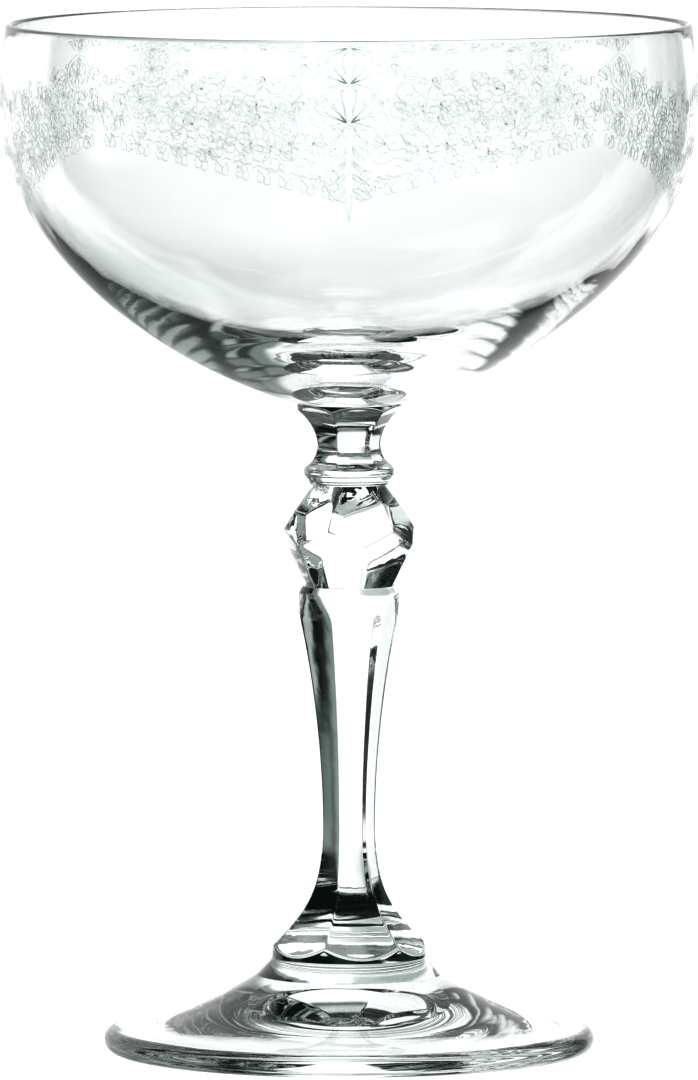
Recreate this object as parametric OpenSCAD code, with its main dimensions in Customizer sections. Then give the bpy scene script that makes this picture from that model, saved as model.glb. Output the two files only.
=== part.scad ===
// Champagne coupe: a wide, shallow bowl on a six-sided cut stem and a domed foot.
// Millimetres, Z up. The glass stands on Z = 0 and its axis is the Z axis.

/* [Bowl] */
// Widest outside diameter of the bowl, at its belly
bowl_d = 100; // [92:1:108]
// How far the lip leans in from the belly, on each side
lip_lean = 0.7; // [0.2:0.1:1.5]
// Height of the lip above the belly
lip_h = 12; // [8:1:16]
// Height of the belly above the bowl's seat on the stem
belly_h = 42.6; // [38:0.2:48]
// Wall thickness at the lip
wall = 1.1; // [0.9:0.1:1.5]
// Thickness of the glass at the bottom of the bowl
bowl_floor = 5.2; // [4:0.2:6.4]

/* [Stem] */
// Turn of the stem's facets about the axis, in degrees
facet_turn = 11; // [0:1:30]
// Diameter of the disc under the bowl
capital_d = 15; // [14:0.5:17]
// Height of the capital, from the knop to the bowl
capital_h = 11.6; // [11:0.2:13]
// Width across flats of the neck under the bowl
neck_flats = 8.2; // [7.4:0.2:9]
// Diameter of the collar above the knop
collar_d = 13; // [12.4:0.2:13.6]
// Height of the faceted knop
knop_h = 14.6; // [14:0.2:15.2]
// Height of the shaft, from the foot ring to the knop
shaft_h = 53.6; // [48:0.2:60]
// Diameter of the round shoulder at the top of the shaft
shoulder_d = 14.5; // [14:0.1:15]
// Width across flats at the shaft's waist
waist_flats = 6.84; // [6.4:0.02:7.6]
// Diameter of the disc that ends the shaft's flare
flare_d = 22.1; // [21:0.1:23]

/* [Foot] */
// Height of the ring between the shaft and the foot
ring_h = 2.6; // [2:0.2:3.2]
// Outside diameter at the bottom of the ring
ring_d = 26.6; // [25.6:0.2:28]
// Height of the foot at the ring
foot_h = 11; // [10:0.2:13]
// Outside diameter of the foot
foot_d = 70.6; // [64:0.2:78]
// Thickness of the foot's rounded edge
foot_edge = 3.4; // [2.8:0.2:4]
// Width of the flat ring that the glass stands on
rest_w = 2; // [1:0.2:3]
// Height of the hollow under the middle of the foot
hollow_h = 5; // [3:0.2:6]

/* [Hidden] */

$fn = 96;
glass = [0.80, 0.90, 0.89, 0.55];
sides = 6;
corner = 180 / sides;
steps = 20;

// Levels, from the foot up
ring_z = foot_h;
shaft_z = ring_z + ring_h;
knop_z = shaft_z + shaft_h;
capital_z = knop_z + knop_h;
seat_z = capital_z + capital_h;
belly_z = seat_z + belly_h;
rim_z = belly_z + lip_h;

// A cubic curve from a to d, as a list of points. It leaves a along a_run and
// arrives at d from d_run, both measured from their own end.
function sweep(a, a_run, d_run, d, n = steps) = [
    for (i = [0:n])
        let (t = i / n, s = 1 - t)
        s * s * s * a + 3 * s * s * t * (a + a_run) + 3 * s * t * t * (d + d_run) + t * t * t * d
];

// Points on an arc from angle a0 to angle a1
function arc(centre, r, a0, a1, n = 8) = [
    for (i = [0:n])
        let (a = a0 + (a1 - a0) * i / n)
        centre + r * [cos(a), sin(a)]
];

// Turns an outline in radius and height into a solid about the axis
module turned(outline) {
    rotate_extrude() polygon(outline);
}

// Repeats a cutter once for each face of the stem
module each_face(first_angle) {
    for (i = [0:sides - 1])
        rotate([0, 0, first_angle + 2 * corner * i])
            children();
}

// Removes the glass outside a facet whose distance from the axis follows a curve.
// The curve runs downwards and ends outside the piece at both ends.
module curved_facets(face_curve, reach, width) {
    high = face_curve[0].y;
    low = face_curve[len(face_curve) - 1].y;
    each_face(facet_turn + corner)
        rotate([90, 0, 0])
            linear_extrude(width, center = true)
                polygon(concat(face_curve, [[reach, low], [reach, high]]));
}

// Removes the glass outside flat facets. Each plane passes at the distance
// "reach" from the axis at the height z, and leans inwards towards the top.
module flat_facets(first_angle, reach, z, lean) {
    size = 40;
    each_face(first_angle)
        translate([reach, 0, z])
            rotate([0, -lean, 0])
                translate([0, -size / 2, -size / 2])
                    cube(size);
}

// Bowl: the wall is thin at the lip and thickens to a heavy bottom
module bowl() {
    seat = [capital_d / 2, seat_z];
    belly = [bowl_d / 2, belly_z];
    lip = [bowl_d / 2 - lip_lean, rim_z - wall / 2];
    floor_middle = [0, seat_z + bowl_floor];
    // Runs of the curves: the belly stands upright, and the lip tips in slightly
    seat_run = [19.5, 5.6];
    belly_fall = [0, -20.5];
    belly_rise = [0, 4];
    lip_fall = [0.3, wall / 2 - 5];
    inner_belly_fall = [0, -21.5];
    floor_run = [23, -0.3];
    inset = [-wall, 0];
    under = sweep(seat, seat_run, belly_fall, belly);
    outside = sweep(belly, belly_rise, lip_fall, lip);
    edge = arc(lip + inset / 2, wall / 2, 0, 180);
    inside = sweep(lip + inset, lip_fall, belly_rise, belly + inset);
    hollow = sweep(belly + inset, inner_belly_fall, floor_run, floor_middle);
    color(glass)
        turned(concat([[0, seat_z]], under, outside, edge, inside, hollow));
}

// Capital: disc, six-sided waisted neck and round collar
module stem_capital() {
    disc_r = capital_d / 2;
    collar_r = collar_d / 2;
    // The neck's faces are nearest the axis this far below the bowl
    neck_drop = 5.9;
    neck = [neck_flats / 2, seat_z - neck_drop];
    // The faces run out through the disc's edge above, and over the collar below
    disc_exit = [disc_r + 0.3, seat_z - 0.1];
    collar_exit = [collar_r + 0.4, neck.y - 3.3];
    disc_run = [neck.x - disc_r + 0.8, -1.4];
    collar_run = [neck.x - collar_r, -0.2];
    neck_rise = [0, 1.5];
    neck_fall = [0, -0.7];
    faces = concat(
        sweep(disc_exit, disc_run, neck_rise, neck),
        sweep(neck, neck_fall, collar_run, collar_exit)
    );
    // The collar is rounded over and under a narrow upright band
    foot_in = 0.9;
    foot_lip = [-0.75, 0.5];
    band_low = 1.4;
    band_high = 2.3;
    throat = [-1.1, 3.7];
    disc_low = 8.2;
    clearance = 3;
    face_w = 12;
    color(glass)
        difference() {
            turned([
                [0, capital_z],
                [collar_r - foot_in, capital_z],
                [collar_r, capital_z] + foot_lip,
                [collar_r, capital_z + band_low],
                [collar_r, capital_z + band_high],
                [collar_r, capital_z] + throat,
                [disc_r, capital_z + disc_low],
                [disc_r, seat_z],
                [0, seat_z]
            ]);
            curved_facets(faces, disc_r + clearance, face_w);
        }
}

// Knop: two six-sided cut cones, turned against each other so that they meet in a
// zigzag girdle, with small facets cut on the corners of the upper one
module knop() {
    blank_r = 11;
    upper_reach = 4.85;
    upper_lean = 30;
    lower_reach = 5.8;
    lower_lean = -24.2;
    corner_reach = 5.05;
    corner_lean = 38.7;
    color(glass)
        difference() {
            translate([0, 0, knop_z])
                cylinder(h = knop_h, r = blank_r);
            flat_facets(facet_turn + corner, upper_reach, capital_z, upper_lean);
            flat_facets(facet_turn, lower_reach, knop_z, lower_lean);
            flat_facets(facet_turn, corner_reach, capital_z, corner_lean);
        }
}

// Shaft: round shoulder, six faces that narrow to a waist, and a flare whose faces
// run out as lobes on the edge of a disc
module shaft() {
    shoulder_r = shoulder_d / 2;
    flare_r = flare_d / 2;
    // The faces are nearest the axis this far above the foot ring
    waist_h = 19.4;
    waist = [waist_flats / 2, shaft_z + waist_h];
    // They run out through the shoulder above, and through the flare's edge below
    shoulder_exit = [shoulder_r + 0.05, knop_z - 0.9];
    flare_exit = [flare_r + 0.35, shaft_z + 0.26];
    shoulder_run = [waist.x - shoulder_r + 2.01, -6.1];
    flare_run = [waist.x - flare_r + 1.75, 5.94];
    waist_rise = [0, 12.1];
    waist_fall = [0, -10.3];
    faces = concat(
        sweep(shoulder_exit, shoulder_run, waist_rise, waist),
        sweep(waist, waist_fall, flare_run, flare_exit)
    );
    disc_h = 6.4;
    cone_h = 10.4;
    chamfer = [0.6, 1.1];
    clearance = 3;
    face_w = 16;
    color(glass)
        difference() {
            turned([
                [0, shaft_z],
                [flare_r, shaft_z],
                [flare_r, shaft_z + disc_h],
                [shoulder_r, shaft_z + cone_h],
                [shoulder_r, knop_z - chamfer.y],
                [shoulder_r - chamfer.x, knop_z],
                [0, knop_z]
            ]);
            curved_facets(faces, flare_r + clearance, face_w);
        }
}

// Foot ring: the collar of glass that joins the flare to the foot
module foot_ring() {
    bottom = [ring_d / 2, ring_z];
    top = [flare_d / 2, shaft_z];
    bottom_run = [-1.1, 1.1];
    top_run = [0.08, -0.6];
    color(glass)
        turned(concat([[0, ring_z]], sweep(bottom, bottom_run, top_run, top, 8), [[0, shaft_z]]));
}

// Foot: a dome that flattens to a rounded edge, hollowed from below so that it
// stands on a narrow flat ring
module foot() {
    edge_r = foot_edge / 2;
    edge_middle = [foot_d / 2 - edge_r, edge_r];
    edge_top = edge_middle + [0, edge_r];
    neck = [ring_d / 2, foot_h];
    rest_inner = [edge_middle.x - rest_w, 0];
    hollow_top = [0, hollow_h];
    neck_run = [3.2, -2.2];
    edge_run = [-8.6, 0.6];
    rest_run = [-9, 1.8];
    hollow_run = [12, 0];
    dome = sweep(neck, neck_run, edge_run, edge_top);
    edge = arc(edge_middle, edge_r, 90, -90);
    hollow = sweep(rest_inner, rest_run, hollow_run, hollow_top);
    color(glass)
        turned(concat([[0, foot_h]], dome, edge, hollow));
}

bowl();
stem_capital();
knop();
shaft();
foot_ring();
foot();
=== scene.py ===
"""The looks of the champagne coupe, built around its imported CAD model.

Outlines are worked out in millimetres and made into meshes in metres, Z up.
Every piece of glass is one closed skin. Where two pieces are welded, both skins
end in a face that light crosses unbent, so the glass looks like one body.
"""

import itertools
import math

import bpy
import numpy as np
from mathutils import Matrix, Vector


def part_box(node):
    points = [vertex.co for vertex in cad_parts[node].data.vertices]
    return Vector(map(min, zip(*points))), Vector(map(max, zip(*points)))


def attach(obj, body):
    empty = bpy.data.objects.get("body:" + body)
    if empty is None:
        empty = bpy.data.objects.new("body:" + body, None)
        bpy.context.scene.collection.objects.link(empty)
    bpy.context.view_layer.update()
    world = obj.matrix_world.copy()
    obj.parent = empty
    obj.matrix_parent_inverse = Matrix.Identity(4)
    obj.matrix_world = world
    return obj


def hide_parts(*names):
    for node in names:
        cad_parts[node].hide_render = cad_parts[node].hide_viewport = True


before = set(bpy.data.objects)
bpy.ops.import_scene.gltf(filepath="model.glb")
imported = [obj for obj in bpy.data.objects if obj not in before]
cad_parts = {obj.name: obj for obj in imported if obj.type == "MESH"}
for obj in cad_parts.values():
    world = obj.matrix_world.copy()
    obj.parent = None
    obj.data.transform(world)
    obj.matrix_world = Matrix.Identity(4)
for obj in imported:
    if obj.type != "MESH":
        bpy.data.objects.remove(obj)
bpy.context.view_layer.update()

MM = 0.001
GLASS, WELD = 0, 1


# ---------------------------------------------------------------- sizes (mm)


def node_box(node):
    """Lowest and highest corner of a CAD node in millimetres."""
    low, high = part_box(node)
    return np.array(low) / MM, np.array(high) / MM


bowl_low, bowl_high = node_box("bowl")
capital_low, capital_high = node_box("stem_capital")
shaft_low, shaft_high = node_box("shaft")
ring_low, ring_high = node_box("foot_ring")
foot_high = node_box("foot")[1]

# Bowl
LIP_LEAN = 0.7
LIP_H = 12
WALL = 1.1
BOWL_FLOOR = 5.2
BELLY_R = bowl_high[0]
SEAT_Z, RIM_Z = bowl_low[2], bowl_high[2]
BELLY_Z = RIM_Z - LIP_H
LIP_R = BELLY_R - LIP_LEAN
LIP_Z = RIM_Z - WALL / 2
FLOOR_Z = SEAT_Z + BOWL_FLOOR

# Stem
DISC_R = capital_high[0]
CAPITAL_Z = capital_low[2]
NECK_R = 4.1
COLLAR_R = 6.5
KNOP_Z = shaft_high[2]
SHAFT_Z = shaft_low[2]
SHOULDER_R = 7.25
SHOULDER_CHAMFER = (0.6, 1.1)
WAIST_R = 3.42
FLARE_R = shaft_high[0]
SIDES = 6
CORNER = math.pi / SIDES
FACET_TURN = math.radians(11)

# Foot
RING_Z = ring_low[2]
RING_R = ring_high[0]
FOOT_R = foot_high[0]
FOOT_EDGE = 3.4
REST_W = 2.0
HOLLOW_H = 5.0

# Fire polishing rounds each cut edge over about this width, and leaves the cut
# faces a little rounded: a flatness of 1 is quite flat
EDGE_SOFTNESS = 0.1
FLATNESS = 0.88


# ------------------------------------------------------------------ outlines


def sweep(a, a_run, d_run, d, n=40):
    """Points of a cubic curve from a to d. Each run is measured from its own end."""
    t = np.linspace(0, 1, n + 1)[:, None]
    s = 1 - t
    a, a_run, d_run, d = (np.array(p, float) for p in (a, a_run, d_run, d))
    return s**3 * a + 3 * s**2 * t * (a + a_run) + 3 * s * t**2 * (d + d_run) + t**3 * d


def arc(centre, radius, start, end, n=16):
    """Points of an arc, with its angles in degrees."""
    a = np.radians(np.linspace(start, end, n + 1))
    return np.array(centre, float) + radius * np.column_stack([np.cos(a), np.sin(a)])


def join(*runs):
    """Runs of points end to end, each shared point kept once."""
    return np.vstack([runs[0], *[run[1:] for run in runs[1:]]])


# The lip's curves are the same on both walls of the bowl
BELLY_RISE = (0, 4)
LIP_FALL = (0.3, WALL / 2 - 5)
LIP_STEPS = 6
OUTER_STEPS, INNER_STEPS = 150, 170


def bowl_outside():
    """The bowl's outer wall, from the seat up to the lip."""
    seat_run = (19.5, 5.6)
    belly_fall = (0, -20.5)
    belly = [BELLY_R, BELLY_Z]
    under = sweep([DISC_R, SEAT_Z], seat_run, belly_fall, belly, OUTER_STEPS)
    return join(under, sweep(belly, BELLY_RISE, LIP_FALL, [LIP_R, LIP_Z], LIP_STEPS))


def bowl_inside():
    """The bowl's inner wall, from the lip down to the middle of the floor."""
    belly_fall = (0, -21.5)
    floor_run = (23, -0.3)
    belly = [BELLY_R - WALL, BELLY_Z]
    side = sweep([LIP_R - WALL, LIP_Z], LIP_FALL, BELLY_RISE, belly, LIP_STEPS)
    return join(side, sweep(belly, belly_fall, floor_run, [0, FLOOR_Z], INNER_STEPS))


def foot_outside():
    """The foot's outline, from the middle of the hollow round the edge and up to the ring."""
    hollow_run, rest_run = (12, 0), (-9, 1.8)
    edge_run, neck_run = (-8.6, 0.6), (3.2, -2.2)
    edge_r = FOOT_EDGE / 2
    edge_x = FOOT_R - edge_r
    hollow = sweep([0, HOLLOW_H], hollow_run, rest_run, [edge_x - REST_W, 0])
    edge = arc([edge_x, edge_r], edge_r, -90, 90)
    dome = sweep([edge_x, FOOT_EDGE], edge_run, neck_run, [RING_R, RING_Z])
    return np.vstack([hollow, edge, dome[1:]])


# -------------------------------------------------------------- mesh building


# How many points each piece has round the axis
BOWL_TURNS, STEM_TURNS, FOOT_TURNS = 288, 240, 256


def even_angles(turns):
    """Evenly spread angles round the axis."""
    return np.arange(turns) * 2 * math.pi / turns


def stem_angles():
    """Angles round the stem, crowded together at the facets' edges."""
    crowding = 0.8
    sector = np.arange(STEM_TURNS) * 2 * SIDES / STEM_TURNS
    return FACET_TURN + CORNER * (sector - crowding * np.sin(2 * math.pi * sector) / (2 * math.pi))


def loop_at(angles, radius, z):
    """A level loop of points. The radius is one number or one for each point."""
    return np.column_stack([radius * np.cos(angles), radius * np.sin(angles), np.full(len(angles), z)])


def add_object(name, points, faces):
    """A new mesh object, from points in millimetres."""
    mesh = bpy.data.meshes.new(name)
    mesh.from_pydata((points * MM).tolist(), [], faces)
    piece = bpy.data.objects.new(name, mesh)
    bpy.context.collection.objects.link(piece)
    return piece


def skin(name, loops, ends, sharp=()):
    """A closed mesh through level loops, with a fan of faces at each end.

    ends gives the material of the two fans. sharp lists the loops that are
    creases: shading is smooth everywhere else.
    """
    turns, count = len(loops[0]), len(loops)
    tips = [np.mean(loops[0], axis=0), np.mean(loops[-1], axis=0)]
    here = np.arange(turns)
    after = (here + 1) % turns
    faces = []
    for low in range(0, (count - 1) * turns, turns):
        high = low + turns
        faces += np.column_stack([low + here, low + after, high + after, high + here]).tolist()
    last = (count - 1) * turns
    faces += np.column_stack([after, here, np.full(turns, count * turns)]).tolist()
    faces += np.column_stack([last + here, last + after, np.full(turns, count * turns + 1)]).tolist()
    piece = add_object(name, np.vstack([*loops, *tips]), faces)
    materials = [GLASS] * ((count - 1) * turns) + [ends[0]] * turns + [ends[1]] * turns
    piece.data.polygons.foreach_set("material_index", materials)
    piece.data.polygons.foreach_set("use_smooth", [True] * len(faces))
    creases = {loop % count for loop in sharp}
    for edge in piece.data.edges:
        a, b = (v // turns for v in edge.vertices)
        edge.use_edge_sharp = a == b and a in creases
    return piece


def turned(name, outline, turns, ends, sharp):
    """A round piece from an outline in radius and height."""
    angles = even_angles(turns)
    return skin(name, [loop_at(angles, r, z) for r, z in outline], ends, sharp)


# -------------------------------------------------------------- cut surfaces


def soft_least(*reaches):
    """The least of several surfaces, with the edge between any two slightly rounded."""
    stack = np.array(np.broadcast_arrays(*reaches), float)
    least = stack.min(axis=0)
    return least - EDGE_SOFTNESS * np.log(np.exp((least - stack) / EDGE_SOFTNESS).sum(axis=0))


def flat_faces(angles, first_angle, distance):
    """How far out six upright faces lie at each angle, each at a distance from the axis."""
    least_cosine = 0.1
    turn = (angles - first_angle + CORNER) % (2 * CORNER) - CORNER
    next_turn = 2 * CORNER - np.abs(turn)
    nearest = distance / np.cos(turn) ** FLATNESS
    neighbour = distance / np.maximum(np.cos(next_turn), least_cosine) ** FLATNESS
    return soft_least(nearest, neighbour)


def radius_at(heights, outline, softness):
    """The outline's radius at each height, with its corners rounded off."""
    samples = 7
    outline = np.array(outline, float)
    low, high = outline[0][1], outline[-1][1]
    reach = [
        np.interp(np.clip(heights + shift, low, high), outline[:, 1], outline[:, 0])
        for shift in np.linspace(-softness, softness, samples)
    ]
    return np.mean(reach, axis=0)


def distance_at(heights, face_curve):
    """A curved face's distance from the axis at each height, far away above and below it."""
    far = 30
    rising = face_curve[np.argsort(face_curve[:, 1])]
    return np.interp(heights, rising[:, 1], rising[:, 0], left=far, right=far)


# The knop's cuts: first face's angle, distance from the axis at a level, and lean
KNOP_CUTS = (
    (FACET_TURN + CORNER, 4.85, CAPITAL_Z, 30),
    (FACET_TURN, 5.8, KNOP_Z, -24.2),
    (FACET_TURN, 5.05, CAPITAL_Z, 38.7),
)


def knop_radius(angles, z):
    """The knop's surface: two cut cones, and small facets on the upper one's corners."""
    faces = []
    for first_angle, reach, level, lean in KNOP_CUTS:
        distance = reach + (level - z) * math.tan(math.radians(lean))
        faces.append(flat_faces(angles, first_angle, distance))
    return soft_least(*faces)


def cut_loops(angles, heights, outline, face_curve, softness):
    """Loops of a turned piece that has six curved faces cut on it."""
    round_reach = radius_at(heights, outline, softness)
    distances = distance_at(heights, face_curve)
    loops = []
    for z, reach, distance in zip(heights, round_reach, distances):
        faces = flat_faces(angles, FACET_TURN + CORNER, distance)
        loops.append(loop_at(angles, soft_least(reach, faces), z))
    return loops


# -------------------------------------------------------------------- pieces


def make_bowl():
    """The bowl: outer wall, rounded lip and inner wall in one turned skin."""
    lip_steps = 12
    lip = arc([LIP_R - WALL / 2, LIP_Z], WALL / 2, 0, 180, lip_steps)
    outline = join(bowl_outside(), lip, bowl_inside())
    return turned("bowl_glass", outline[:-1], BOWL_TURNS, (WELD, GLASS), sharp=(0,))


def make_capital():
    """The capital: disc, six-sided waisted neck and round collar."""
    angles = stem_angles()
    neck_drop = 5.9
    neck = [NECK_R, SEAT_Z - neck_drop]
    disc_exit = [DISC_R + 0.3, SEAT_Z - 0.1]
    collar_exit = [COLLAR_R + 0.4, neck[1] - 3.3]
    disc_run = (NECK_R - DISC_R + 0.8, -1.4)
    collar_run = (NECK_R - COLLAR_R, -0.2)
    neck_rise, neck_fall = (0, 1.5), (0, -0.7)
    faces = join(
        sweep(disc_exit, disc_run, neck_rise, neck),
        sweep(neck, neck_fall, collar_run, collar_exit),
    )
    foot_in, foot_lip, band_low, band_high = 0.9, (0.75, 0.5), 1.4, 2.3
    throat, disc_low = (1.1, 3.7), 8.2
    outline = [
        [COLLAR_R - foot_in, CAPITAL_Z],
        [COLLAR_R - foot_lip[0], CAPITAL_Z + foot_lip[1]],
        [COLLAR_R, CAPITAL_Z + band_low],
        [COLLAR_R, CAPITAL_Z + band_high],
        [COLLAR_R - throat[0], CAPITAL_Z + throat[1]],
        [DISC_R, CAPITAL_Z + disc_low],
        [DISC_R, SEAT_Z],
    ]
    levels = 140
    heights = np.linspace(CAPITAL_Z, SEAT_Z, levels)
    loops = cut_loops(angles, heights, outline, faces, softness=0.2)
    loops.insert(0, loop_at(angles, knop_radius(angles, CAPITAL_Z), CAPITAL_Z))
    return skin("capital_glass", loops, (WELD, WELD), sharp=(0, 1, -1))


def make_knop():
    """The knop: a faceted bulb."""
    angles = stem_angles()
    levels = 160
    heights = np.linspace(KNOP_Z, CAPITAL_Z, levels)
    loops = [loop_at(angles, knop_radius(angles, z), z) for z in heights]
    return skin("knop_glass", loops, (WELD, WELD), sharp=(0, -1))


def shaft_heights():
    """The levels of the shaft's loops, close together where the faces run out."""
    fine, coarse = 0.09, 0.4
    flare_h, arches_h, gap = 9, 6, 0.05
    flare = np.arange(SHAFT_Z, SHAFT_Z + flare_h, fine)
    middle = np.arange(SHAFT_Z + flare_h, KNOP_Z - arches_h, coarse)
    arches = np.arange(KNOP_Z - arches_h, KNOP_Z - gap, fine)
    return np.concatenate([flare, middle, arches, [KNOP_Z]])


def make_shaft():
    """The shaft: round shoulder, six tapering faces, and a flare that ends in lobes."""
    angles = stem_angles()
    waist_h = 19.4
    waist = [WAIST_R, SHAFT_Z + waist_h]
    shoulder_exit = [SHOULDER_R + 0.05, KNOP_Z - 0.9]
    flare_exit = [FLARE_R + 0.35, SHAFT_Z + 0.26]
    shoulder_run = (WAIST_R - SHOULDER_R + 2.01, -6.1)
    flare_run = (WAIST_R - FLARE_R + 1.75, 5.94)
    waist_rise, waist_fall = (0, 12.1), (0, -10.3)
    steps = 80
    faces = join(
        sweep(shoulder_exit, shoulder_run, waist_rise, waist, steps),
        sweep(waist, waist_fall, flare_run, flare_exit, steps),
    )
    disc_h, cone_h = 6.4, 10.4
    top_r = SHOULDER_R - SHOULDER_CHAMFER[0]
    outline = [
        [FLARE_R, SHAFT_Z],
        [FLARE_R, SHAFT_Z + disc_h],
        [SHOULDER_R, SHAFT_Z + cone_h],
        [SHOULDER_R, KNOP_Z - SHOULDER_CHAMFER[1]],
        [top_r, KNOP_Z],
    ]
    loops = cut_loops(angles, shaft_heights(), outline, faces, softness=0.15)
    # The weld lies just inside the knop's outline
    inset = 0.02
    joint = np.minimum(knop_radius(angles, KNOP_Z), top_r) - inset
    loops.append(loop_at(angles, joint, KNOP_Z))
    return skin("shaft_glass", loops, (WELD, WELD), sharp=(0, -1, -2))


def make_ring():
    """The foot ring: a short collar with a hollow flank."""
    bottom_run, top_run = (-1.1, 1.1), (0.08, -0.6)
    flank = sweep([RING_R, RING_Z], bottom_run, top_run, [FLARE_R, SHAFT_Z])
    return turned("foot_ring_glass", flank, STEM_TURNS, (WELD, WELD), sharp=(0, -1))


def make_foot():
    """The foot: hollow, rounded edge and dome in one turned skin."""
    return turned("foot_glass", foot_outside()[1:], FOOT_TURNS, (GLASS, WELD), sharp=(-1,))


# ----------------------------------------------------------------- lace band

# The band repeats round the bowl in cells, each with a point hanging down in its
# middle. A stroke is a list of points: the distance round the bowl from the
# middle of its cell, and the height, both in millimetres. Cells are symmetrical,
# so most strokes are drawn on one side and mirrored.
CELLS = 4
HALF_CELL = math.pi * BELLY_R / CELLS
BAND_Z = BELLY_Z - 3
BAND_TOP = 4
FRONT_DEPTH, SIDE_DEPTH = 7.5, 15
POINT_SHARPNESS = 1.2
CREST_H = 4.5
# Where the crests of the upper edge stand and how wide they are, in half cells
CRESTS = ((0, 0.22), (0.8, 0.16))
HEART_Z = BAND_Z + 3.6
MEDALLION = (0.8 * HALF_CELL, BAND_Z + 6.3)
MEDALLION_ROOM = 3.9
PALMETTE_W = 6
PALMETTE_LOW = BAND_Z + 2
UPRIGHT = 90
# Length and width of the palmette's leaves, one inside the other
FAN_LEAVES = ((5.2, 2.3), (3.4, 1.3))

# A stroke is a ridge: its crest stands proud of the bowl, its sides and keel are sunk
STROKE_W = 0.2
CREST_OUT = 0.014
SIDE_IN = 0.002
KEEL_IN = 0.006
END_TAPER = 0.3


def spiral(centre, radius, start, hand, n=18):
    """A scroll that winds in from its outer end. hand is 1 or -1."""
    turns, narrowing = 1.35, 0.82
    t = np.linspace(0, 1, n)
    angle = math.radians(start) + hand * 2 * math.pi * turns * t
    reach = radius * (1 - narrowing * t)
    return np.column_stack([centre[0] + reach * np.cos(angle), centre[1] + reach * np.sin(angle)])


def ring(centre, radius, n=14):
    """A small closed circle."""
    angle = np.linspace(0, 2 * math.pi, n)
    return np.column_stack([centre[0] + radius * np.cos(angle), centre[1] + radius * np.sin(angle)])


def leaf(base, length, heading, width, n=14):
    """A closed drop-shaped leaf that points along its heading, in degrees."""
    fullness = 1.3
    t = np.linspace(0, 2 * math.pi, n)
    along = length * (1 - np.cos(t)) / 2
    across = width / 2 * np.sin(t) * (1 - np.cos(t)) / fullness
    a = math.radians(heading)
    x = base[0] + along * math.cos(a) - across * math.sin(a)
    y = base[1] + along * math.sin(a) + across * math.cos(a)
    return np.column_stack([x, y])


def bow(start, end, sag, n=14):
    """A shallow arc between two points."""
    t = np.linspace(0, 1, n)[:, None]
    start, end = np.array(start, float), np.array(end, float)
    chord = end - start
    side = np.array([-chord[1], chord[0]]) / np.linalg.norm(chord)
    return start + chord * t + side * sag * 4 * t * (1 - t)


def lower_edge(s, depth):
    """Height of the band's lower edge: it hangs down in a point at each cell's middle."""
    far = min(abs(s) / HALF_CELL, 1)
    return BAND_Z - depth * (1 - far) ** POINT_SHARPNESS


def upper_edge(s):
    """Height of the band's upper edge: high over the points and the medallions."""
    far = abs(s) / HALF_CELL
    swell = sum(math.exp(-(((far - middle) / width) ** 2)) for middle, width in CRESTS)
    return BAND_Z + BAND_TOP + CREST_H * swell


def centre_line(depth):
    """The strokes on a cell's middle: an upright leaf, a ring and the drop at the tip."""
    length, width = FAN_LEAVES[0]
    ring_drop, ring_r = 1.4, 0.9
    drop_h, drop_l, drop_w = 3.1, 4.4, 0.9
    return [
        leaf((0, HEART_Z), length, UPRIGHT, width),
        ring((0, HEART_Z - ring_drop), ring_r),
        leaf((0, lower_edge(0, depth) - drop_h), drop_l, UPRIGHT, drop_w),
    ]


def palmette(depth):
    """Leaves that fan out beside the cell's middle, and the pairs below them."""
    fan = (62, 34, 6)
    fan_x, pair_x = 0.3, 0.4
    pairs, pair_spacing, pair_top, droop = 4, 4.4, HEART_Z - 2.6, 8
    # Of a pair's two leaves: drop, length, growth from one pair to the next, heading, width
    pair_leaves = ((0, 2.6, 0.35, -30, 1.3), (0.4, 1.7, 0.2, -38, 0.7))
    strokes = []
    for heading in fan:
        for length, width in FAN_LEAVES:
            strokes.append(leaf((fan_x, HEART_Z), length, heading, width))
    tip = lower_edge(0, depth)
    for k in range(1, pairs + 1):
        z = tip + (pair_top - tip) * k / pair_spacing
        for drop, length, growth, heading, width in pair_leaves:
            strokes.append(leaf((pair_x, z - drop), length + growth * k, heading - droop * k, width))
    bow_start, bow_end, bow_sag = (pair_x, tip - 0.3), (2.9, tip + 1.4), -0.5
    strokes.append(bow(bow_start, bow_end, bow_sag))
    return strokes


def medallion():
    """A round of petals inside two rings."""
    petals, petal_l, petal_w = 8, 1.9, 0.8
    # Radius and number of points of each ring
    rings = ((2.75, 30), (2.1, 24), (0.5, 14))
    strokes = [ring(MEDALLION, radius, n) for radius, n in rings]
    for k in range(petals):
        strokes.append(leaf(MEDALLION, petal_l, 360 / petals * k, petal_w))
    return strokes


def edging(depth):
    """Small loops along the lower edge, and beads and leaves along the upper one."""
    loops = 24
    first, margin = 2.2, 2
    loop_rise, loop_l, loop_w, loop_tilt = 1.5, 1.9, 1.1, 14
    bow_half, bow_start, bow_end, bow_sag, bow_points = 0.8, 1.7, 1.6, 0.4, 8
    bead_r, bead_drop = 0.38, 0.2
    leaf_in, leaf_drop, leaf_l, leaf_w = 0.3, 1.4, 1.6, 0.7
    leaf_heading, leaf_tilt = 60, 50
    strokes = []
    for k in range(loops):
        s = first + k * (HALF_CELL - margin) / loops
        z = lower_edge(s, depth)
        strokes.append(leaf((s, z + loop_rise), loop_l, loop_tilt * (-1) ** k - UPRIGHT, loop_w))
        ends = (s - bow_half, z + bow_start), (s + bow_half, z + bow_end)
        strokes.append(bow(*ends, bow_sag, bow_points))
        if k % 2:
            top = upper_edge(s)
            heading = leaf_heading + leaf_tilt * (k % 4 - 2)
            strokes.append(ring((s, top - bead_drop), bead_r))
            strokes.append(leaf((s + leaf_in, top - leaf_drop), leaf_l, heading, leaf_w))
    return strokes


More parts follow.
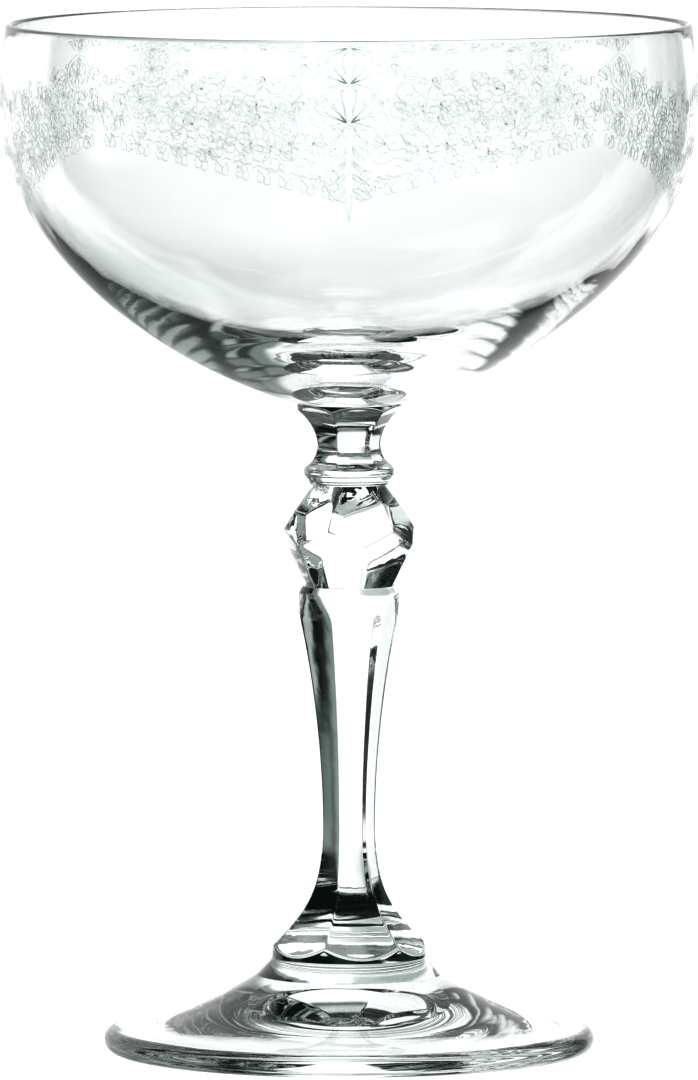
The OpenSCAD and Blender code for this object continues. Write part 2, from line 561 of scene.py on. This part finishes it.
def scroll(centre, radius, start, hand):
    """A scroll with two leaves at its outer end."""
    a = math.radians(start)
    end = (centre[0] + radius * math.cos(a), centre[1] + radius * math.sin(a))
    # Length, turn from the scroll's start, and width of each leaf
    leaves = ((1.9, 65, 0.9), (1.5, 10, 0.6))
    strokes = [spiral(centre, radius, start, hand)]
    for length, turn, width in leaves:
        strokes.append(leaf(end, length, start + turn * hand, width))
    return strokes


def is_free(s, z):
    """Whether a place in the band is clear of the medallion and the palmette."""
    in_medallion = math.hypot(s - MEDALLION[0], z - MEDALLION[1]) < MEDALLION_ROOM
    in_palmette = s < PALMETTE_W and z > PALMETTE_LOW
    return not (in_medallion or in_palmette)


def scrollwork(depth):
    """Rows of scrolls that fill the band round the medallion and the palmette.

    Sizes, hands and turns vary from one scroll to the next, so that no rows show.
    """
    rows, count = 5, 9
    first, margin = 2.6, 2.4
    low_room, high_room = 2.9, 1.3
    least_r, r_step = 1.5, 0.175
    turn_along, turn_up = 40, 75
    bead_r, bead_gap, bead_side, bead_points = 0.42, 0.3, 0.6, 12
    strokes = []
    for row, k in itertools.product(range(rows), range(count)):
        s = first + (k + 0.5 * (row % 2)) * (HALF_CELL - margin) / count
        low = lower_edge(s, depth) + low_room
        high = upper_edge(s) - high_room
        z = low + (high - low) * row / (rows - 1)
        if not is_free(s, z):
            continue
        hand = 1 if (row + k) % 2 else -1
        radius = least_r + r_step * ((2 * k + row) % 3)
        strokes += scroll((s, z), radius, turn_along * k + turn_up * row, hand)
        if (row + 2 * k) % 3 == 0:
            bead = (s + bead_side * radius, z - radius - bead_gap)
            strokes.append(ring(bead, bead_r, bead_points))
    return strokes


def cell_strokes(depth):
    """One cell's strokes."""
    half = palmette(depth) + medallion() + edging(depth) + scrollwork(depth)
    mirrored = [stroke * (-1, 1) for stroke in half]
    return centre_line(depth) + half + mirrored


def on_bowl(stroke, middle, wall, slope):
    """A stroke laid on the bowl: its points, and the directions out of the glass there."""
    s, z = stroke.T
    angle = middle + s / BELLY_R
    radius, slope_r, slope_z = (
        np.interp(z, wall[:, 1], values) for values in (wall[:, 0], slope[:, 0], slope[:, 1])
    )
    spine = np.column_stack([radius * np.cos(angle), radius * np.sin(angle), z])
    out = np.column_stack([slope_z * np.cos(angle), slope_z * np.sin(angle), -slope_r])
    return spine, out


def ridge(spine, out):
    """The four corners of a stroke's ridge at each point along it."""
    across = np.cross(np.gradient(spine, axis=0), out)
    across /= np.linalg.norm(across, axis=1)[:, None]
    taper = np.ones((len(spine), 1))
    taper[[0, -1]] = END_TAPER
    side = across * STROKE_W / 2 * taper
    sunk = spine - out * SIDE_IN
    corners = [sunk - side, spine + out * CREST_OUT * taper, sunk + side, spine - out * KEEL_IN]
    return np.stack(corners, axis=1).reshape(-1, 3)


def ridge_faces(count, start):
    """The faces of a ridge with that many points along it, and both its ends."""
    here = start + 4 * np.arange(count - 1)
    last = start + 4 * (count - 1)
    faces = []
    for corner in range(4):
        after = (corner + 1) % 4
        faces += np.column_stack([here + corner, here + after, here + 4 + after, here + 4 + corner]).tolist()
    return faces + [[start + 3, start + 2, start + 1, start], [last, last + 1, last + 2, last + 3]]


def make_lace():
    """The lace: fine ridges that stand out of the bowl's outer wall."""
    wall = bowl_outside()
    slope = np.gradient(wall, axis=0)
    slope /= np.linalg.norm(slope, axis=1)[:, None]
    points, faces = [], []
    total = 0
    for cell in range(CELLS):
        depth = SIDE_DEPTH if cell % 2 else FRONT_DEPTH
        middle = 2 * math.pi * cell / CELLS - math.pi / 2
        for stroke in cell_strokes(depth):
            points.append(ridge(*on_bowl(stroke, middle, wall, slope)))
            faces += ridge_faces(len(stroke), total)
            total += 4 * len(stroke)
    return add_object("lace_band", np.vstack(points), faces)


# ----------------------------------------------------------------- materials

GLASS_IOR = 1.53


def clear_shader(mat):
    """The material's shader, set to clear glass, with its nodes and links."""
    mat.use_nodes = True
    nodes, links = mat.node_tree.nodes, mat.node_tree.links
    shader = nodes["Principled BSDF"]
    shader.inputs["Transmission Weight"].default_value = 1.0
    shader.inputs["IOR"].default_value = GLASS_IOR
    return shader, nodes, links


def noise_at(nodes, links, size, detail=2.0):
    """Soft noise in the object's own space, with spots of a size in millimetres."""
    place = nodes.new("ShaderNodeTexCoord")
    noise = nodes.new("ShaderNodeTexNoise")
    noise.inputs["Scale"].default_value = 1 / (size * MM)
    noise.inputs["Detail"].default_value = detail
    links.new(place.outputs["Object"], noise.inputs["Vector"])
    return noise.outputs["Fac"]


def vary(nodes, links, shader, noise, colours, roughness):
    """Lets the noise vary the glass's colour and roughness between two values each."""
    hue = nodes.new("ShaderNodeValToRGB")
    for element, colour in zip(hue.color_ramp.elements, colours):
        element.color = (*colour, 1)
    links.new(noise, hue.inputs["Fac"])
    links.new(hue.outputs["Color"], shader.inputs["Base Color"])
    gloss = nodes.new("ShaderNodeMapRange")
    gloss.inputs["To Min"].default_value = roughness[0]
    gloss.inputs["To Max"].default_value = roughness[1]
    links.new(noise, gloss.inputs["Value"])
    links.new(gloss.outputs["Result"], shader.inputs["Roughness"])


def glass_material(name, tint, wave_size, wave_depth):
    """Clear polished glass, with the faint waves that a mould or a gather leaves."""
    brightening = 0.02
    mat = bpy.data.materials.new(name)
    shader, nodes, links = clear_shader(mat)
    waves = noise_at(nodes, links, wave_size, detail=1.5)
    bump = nodes.new("ShaderNodeBump")
    bump.inputs["Distance"].default_value = wave_depth * MM
    links.new(waves, bump.inputs["Height"])
    links.new(bump.outputs["Normal"], shader.inputs["Normal"])
    lighter = [min(1, channel + brightening) for channel in tint]
    vary(nodes, links, shader, waves, (tint, lighter), roughness=(0.0, 0.015))
    return mat


def etched_material():
    """Glass with a fine matt surface, where the lace was etched."""
    grain_size = 0.4
    greenish, clear = (0.94, 0.97, 0.965), (0.99, 1, 1)
    mat = bpy.data.materials.new("etched_crystal")
    shader, nodes, links = clear_shader(mat)
    grain = noise_at(nodes, links, grain_size)
    vary(nodes, links, shader, grain, (greenish, clear), roughness=(0.03, 0.14))
    return mat


def weld_material():
    """The face inside a weld: light crosses it without bending."""
    mat = bpy.data.materials.new("weld")
    mat.use_nodes = True
    nodes, links = mat.node_tree.nodes, mat.node_tree.links
    nodes.remove(nodes["Principled BSDF"])
    clear = nodes.new("ShaderNodeBsdfTransparent")
    links.new(clear.outputs["BSDF"], nodes["Material Output"].inputs["Surface"])
    return mat


# ------------------------------------------------------------------ assembly


def hide_from_paper(piece):
    """Keeps the glass from casting a shadow on the paper or tinting its light."""
    piece.visible_shadow = False
    piece.visible_diffuse = False


# Light is tinted at every surface that it crosses, so the tints are close to white, save the foot's, which
# also carries painted shade
blown = glass_material("blown_crystal", (0.97, 0.985, 0.98), wave_size=10, wave_depth=0.06)
pressed = glass_material("pressed_crystal", (0.965, 0.985, 0.98), wave_size=2.5, wave_depth=0.03)
# The foot's tint is darker than the other glass: partly the glass's own green, partly painted shade that
# stands in for the shaded table seen through the foot
thick_shaded = glass_material("thick_crystal_painted_shade", (0.86, 0.895, 0.89), wave_size=10, wave_depth=0.06)
weld = weld_material()

PIECES = {
    "bowl": (make_bowl, blown),
    "stem_capital": (make_capital, pressed),
    "knop": (make_knop, pressed),
    "shaft": (make_shaft, pressed),
    "foot_ring": (make_ring, pressed),
    "foot": (make_foot, thick_shaded),
}

for node, (make, material) in PIECES.items():
    piece = make()
    piece.data.materials.append(material)
    piece.data.materials.append(weld)
    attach(piece, "root")
    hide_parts(node)
    hide_from_paper(piece)

lace = make_lace()
lace.data.materials.append(etched_material())
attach(lace, "root")
hide_from_paper(lace)


# -------------------------------------------------------------- floor, camera


def paper_material():
    """Plain white paper that glows a little, so that no grey shows on it."""
    glow = 0.1
    mat = bpy.data.materials.new("white_paper")
    mat.use_nodes = True
    shader = mat.node_tree.nodes["Principled BSDF"]
    shader.inputs["Base Color"].default_value = (1, 1, 1, 1)
    shader.inputs["Roughness"].default_value = 1
    shader.inputs["Emission Color"].default_value = (1, 1, 1, 1)
    shader.inputs["Emission Strength"].default_value = glow
    return mat


def make_floor():
    """A wide sheet of paper. Glass looks past it, at the studio's panels."""
    reach = 6 / MM
    corners = np.array([(-reach, -reach, 0), (reach, -reach, 0), (reach, reach, 0), (-reach, reach, 0)])
    floor = add_object("floor", corners, [(0, 1, 2, 3)])
    floor.data.materials.append(paper_material())
    floor.visible_transmission = False
    floor.visible_glossy = False
    return floor


floor = make_floor()


def make_camera():
    """The camera, well back from the glass and a little above it."""
    distance, height, target_height = 2.077, 0.253, 0.0737
    frame_height = 0.1552
    sensor = 36
    drop = height - target_height
    data = bpy.data.cameras.new("camera")
    camera = bpy.data.objects.new("camera", data)
    bpy.context.collection.objects.link(camera)
    camera.location = (0, -distance, height)
    camera.rotation_euler = (math.pi / 2 - math.atan2(drop, distance), 0, 0)
    data.sensor_width = sensor
    data.lens = sensor * math.hypot(drop, distance) / frame_height
    data.clip_end = 40
    return camera


bpy.context.scene.camera = make_camera()


# ---------------------------------------------------------------------- light

# The studio, as glass sees it: soft-edged panels laid over each other in turn.
# Azimuth is in degrees from +Y towards +X, elevation is above the horizon.
# name: (azimuth range, elevation range, softness, brightness)
BRIGHTEST = 1.12
PANELS = {
    "right_fade": ((24, 37), (-60, 46), 2, 0.35),
    "backdrop": ((-61, 29), (-60, 46), 3, BRIGHTEST),
    "table": ((-30, -2), (-60, -11), 4, 0.7),
    "left_table": ((-42, -13), (-52, -20), 6, 0.55),
    "right_table": ((38, 51), (-13, 2), 3, 0.3),
    "far_right_table": ((61, 100), (-12, 3), 4, 0.5),
    "right_slit": ((44, 50), (4, 32), 2, 0.6),
    "left_window": ((-104, -80), (-20, 12), 6, 1.0),
    "rear_window": ((118, 158), (-34, -6), 8, 1.0),
    "room_front": ((168, 204), (-60, 60), 10, 0.5),
    "ceiling_light": ((-10, 22), (50, 70), 6, 0.75),
    "high_left_light": ((-82, -55), (55, 78), 6, 0.8),
    "high_right_light": ((80, 150), (60, 84), 8, 0.4),
}
OPEN_ROOM = 0.015
# Darks are a little green: the tone at a few shares of the greatest brightness
TONES = ((0, (0.0, 0.005, 0.005)), (0.3, (0.26, 0.31, 0.3)), (1, (1, 1, 1)))


def math_node(nodes, links, operation, *values):
    """A maths node. Each value is a number or another node's output."""
    node = nodes.new("ShaderNodeMath")
    node.operation = operation
    for socket, value in zip(node.inputs, values):
        if isinstance(value, (int, float)):
            socket.default_value = value
        else:
            links.new(value, socket)
    return node.outputs["Value"]


def within(nodes, links, angle, span, softness):
    """1 inside a range of angles in degrees, falling smoothly to 0 outside it."""
    centre, half = sum(span) / 2, (span[1] - span[0]) / 2
    offset = math_node(nodes, links, "SUBTRACT", angle, math.radians(centre))
    offset = math_node(nodes, links, "WRAP", offset, math.pi, -math.pi)
    edge = nodes.new("ShaderNodeMapRange")
    edge.interpolation_type = "SMOOTHSTEP"
    edge.inputs["From Min"].default_value = math.radians(half + softness)
    edge.inputs["From Max"].default_value = math.radians(half - softness)
    links.new(math_node(nodes, links, "ABSOLUTE", offset), edge.inputs["Value"])
    return edge.outputs["Result"]


def panel_light(nodes, links):
    """The panels' brightness in the direction looked at."""
    direction = nodes.new("ShaderNodeSeparateXYZ")
    links.new(nodes.new("ShaderNodeTexCoord").outputs["Generated"], direction.inputs["Vector"])
    azimuth = math_node(nodes, links, "ARCTAN2", direction.outputs["X"], direction.outputs["Y"])
    elevation = math_node(nodes, links, "ARCSINE", direction.outputs["Z"])
    light = OPEN_ROOM
    for azimuths, elevations, softness, brightness in PANELS.values():
        across = within(nodes, links, azimuth, azimuths, softness)
        up = within(nodes, links, elevation, elevations, softness)
        cover = math_node(nodes, links, "MULTIPLY", across, up)
        change = math_node(nodes, links, "SUBTRACT", brightness, light)
        light = math_node(nodes, links, "MULTIPLY_ADD", cover, change, light)
    return light


def toned(nodes, links, light):
    """The light's colour, as a share of the greatest brightness."""
    tone = nodes.new("ShaderNodeValToRGB")
    elements = tone.color_ramp.elements
    while len(elements) < len(TONES):
        elements.new(1)
    for element, (share, colour) in zip(elements, TONES):
        element.position = share
        element.color = (*colour, 1)
    links.new(math_node(nodes, links, "DIVIDE", light, BRIGHTEST), tone.inputs["Fac"])
    return tone.outputs["Color"]


def make_studio():
    """A white studio to the camera and to paper; bright and dark panels to glass."""
    world = bpy.data.worlds.new("studio")
    bpy.context.scene.world = world
    world.use_nodes = True
    nodes, links = world.node_tree.nodes, world.node_tree.links
    seen = nodes.new("ShaderNodeLightPath").outputs
    plain = math_node(nodes, links, "MAXIMUM", seen["Is Camera Ray"], seen["Is Diffuse Ray"])
    white = 1 / BRIGHTEST
    choice = nodes.new("ShaderNodeMix")
    choice.data_type = "RGBA"
    panels_in, white_in = [socket for socket in choice.inputs if socket.type == "RGBA"]
    (chosen,) = [socket for socket in choice.outputs if socket.type == "RGBA"]
    white_in.default_value = (white, white, white, 1)
    links.new(plain, choice.inputs["Factor"])
    links.new(toned(nodes, links, panel_light(nodes, links)), panels_in)
    links.new(chosen, nodes["Background"].inputs["Color"])
    nodes["Background"].inputs["Strength"].default_value = BRIGHTEST


make_studio()

# The view has a strong contrast, and light may cross many surfaces before it is lost
GLASS_BOUNCES = 28
CLEAR_BOUNCES = 32
scene = bpy.context.scene
scene.view_settings.view_transform = "Standard"
scene.view_settings.exposure = 0.12
scene.view_settings.gamma = 0.62
scene.cycles.max_bounces = GLASS_BOUNCES
scene.cycles.transmission_bounces = GLASS_BOUNCES
scene.cycles.glossy_bounces = GLASS_BOUNCES
scene.cycles.transparent_max_bounces = CLEAR_BOUNCES
